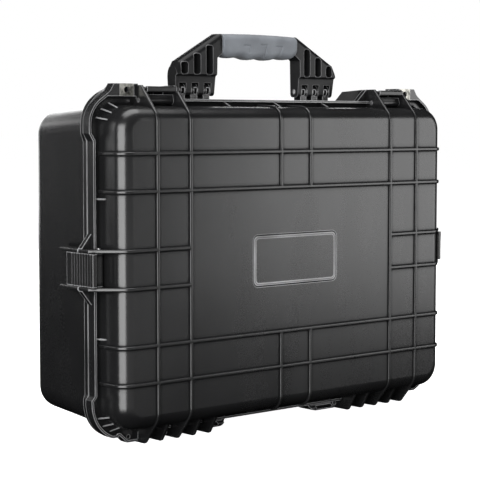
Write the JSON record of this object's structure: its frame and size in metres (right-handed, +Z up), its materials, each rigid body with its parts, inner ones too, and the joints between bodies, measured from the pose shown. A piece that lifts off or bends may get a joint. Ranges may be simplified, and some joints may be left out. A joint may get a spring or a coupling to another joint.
{
  "type": "hard carrying case",
  "caption": "Ribbed hard plastic carrying case for a drone: hinged lid, draw latches on top and sides, folding grip handle, padlock lugs, cut foam inside.",
  "frame": {"origin": "middle of the footprint, on the surface that the case stands on", "axes": "+X along the case's width, +Z up towards the handle with the case standing on its hinge side, -Y out of the lid's face"},
  "size_m": [0.516, 0.17, 0.428],
  "materials": {
    "shell": "satin moulded polypropylene with a fine grain",
    "handle_plastic": "satin moulded nylon",
    "latch_plastic": "satin moulded plastic",
    "grip_rubber": "matte moulded rubber",
    "seal_rubber": "matte",
    "steel": "ground pin",
    "steel_plate": "stamped plate, lightly brushed",
    "foam": "open-cell foam"
  },
  "bodies": {
    "base": {"base_shell": "shell", "padlock_plate_base_left": "steel_plate", "padlock_plate_base_right": "steel_plate", "foam_insert": "foam", "foam_pad": "foam", "hinge_pin_left": "steel", "hinge_pin_right": "steel", "handle_pin_left": "steel", "handle_pin_right": "steel"},
    "lid": {"lid_shell": "shell", "padlock_plate_lid_left": "steel_plate", "padlock_plate_lid_right": "steel_plate", "foam_lid": "foam", "gasket": "seal_rubber", "latch_hinge_pin_top_left": "steel", "latch_hinge_pin_top_right": "steel", "latch_hinge_pin_side_left": "steel", "latch_hinge_pin_side_right": "steel"},
    "handle": {"handle_frame": "handle_plastic", "handle_grip": "grip_rubber"},
    "claw_top_left": {"latch_claw_top_left": "latch_plastic", "latch_lever_pin_top_left": "steel"},
    "lever_top_left": {"latch_lever_top_left": "latch_plastic"},
    "claw_top_right": {"latch_claw_top_right": "latch_plastic", "latch_lever_pin_top_right": "steel"},
    "lever_top_right": {"latch_lever_top_right": "latch_plastic"},
    "claw_side_left": {"latch_claw_side_left": "latch_plastic", "latch_lever_pin_side_left": "steel"},
    "lever_side_left": {"latch_lever_side_left": "latch_plastic"},
    "claw_side_right": {"latch_claw_side_right": "latch_plastic", "latch_lever_pin_side_right": "steel"},
    "lever_side_right": {"latch_lever_side_right": "latch_plastic"}
  },
  "joints": [
    {"name": "lid_hinge", "type": "hinge", "parent": "base", "child": "lid", "pos_m": [0, -0.039, 0.006], "axis": [1, 0, 0], "range_deg": [0, 105]},
    {"name": "handle_pivot", "type": "hinge", "parent": "base", "child": "handle", "pos_m": [0, -0.0115, 0.366], "axis": [1, 0, 0], "range_deg": [-90, 0]},
    {"name": "claw_top_left_turn", "type": "hinge", "parent": "lid", "child": "claw_top_left", "pos_m": [-0.1685, -0.054, 0.3535], "axis": [1, 0, 0], "range_deg": [0, 70]},
    {"name": "lever_top_left_pull", "type": "hinge", "parent": "claw_top_left", "child": "lever_top_left", "pos_m": [-0.1685, -0.02, 0.3575], "axis": [1, 0, 0], "range_deg": [-70, 0]},
    {"name": "claw_top_right_turn", "type": "hinge", "parent": "lid", "child": "claw_top_right", "pos_m": [0.1685, -0.054, 0.3535], "axis": [1, 0, 0], "range_deg": [0, 70]},
    {"name": "lever_top_right_pull", "type": "hinge", "parent": "claw_top_right", "child": "lever_top_right", "pos_m": [0.1685, -0.02, 0.3575], "axis": [1, 0, 0], "range_deg": [-70, 0]},
    {"name": "claw_side_left_turn", "type": "hinge", "parent": "lid", "child": "claw_side_left", "pos_m": [-0.2425, -0.054, 0.183], "axis": [0, 0, 1], "range_deg": [0, 70]},
    {"name": "lever_side_left_pull", "type": "hinge", "parent": "claw_side_left", "child": "lever_side_left", "pos_m": [-0.2465, -0.02, 0.183], "axis": [0, 0, 1], "range_deg": [-70, 0]},
    {"name": "claw_side_right_turn", "type": "hinge", "parent": "lid", "child": "claw_side_right", "pos_m": [0.2425, -0.054, 0.183], "axis": [0, 0, -1], "range_deg": [0, 70]},
    {"name": "lever_side_right_pull", "type": "hinge", "parent": "claw_side_right", "child": "lever_side_right", "pos_m": [0.2465, -0.02, 0.183], "axis": [0, 0, -1], "range_deg": [-70, 0]}
  ]
}
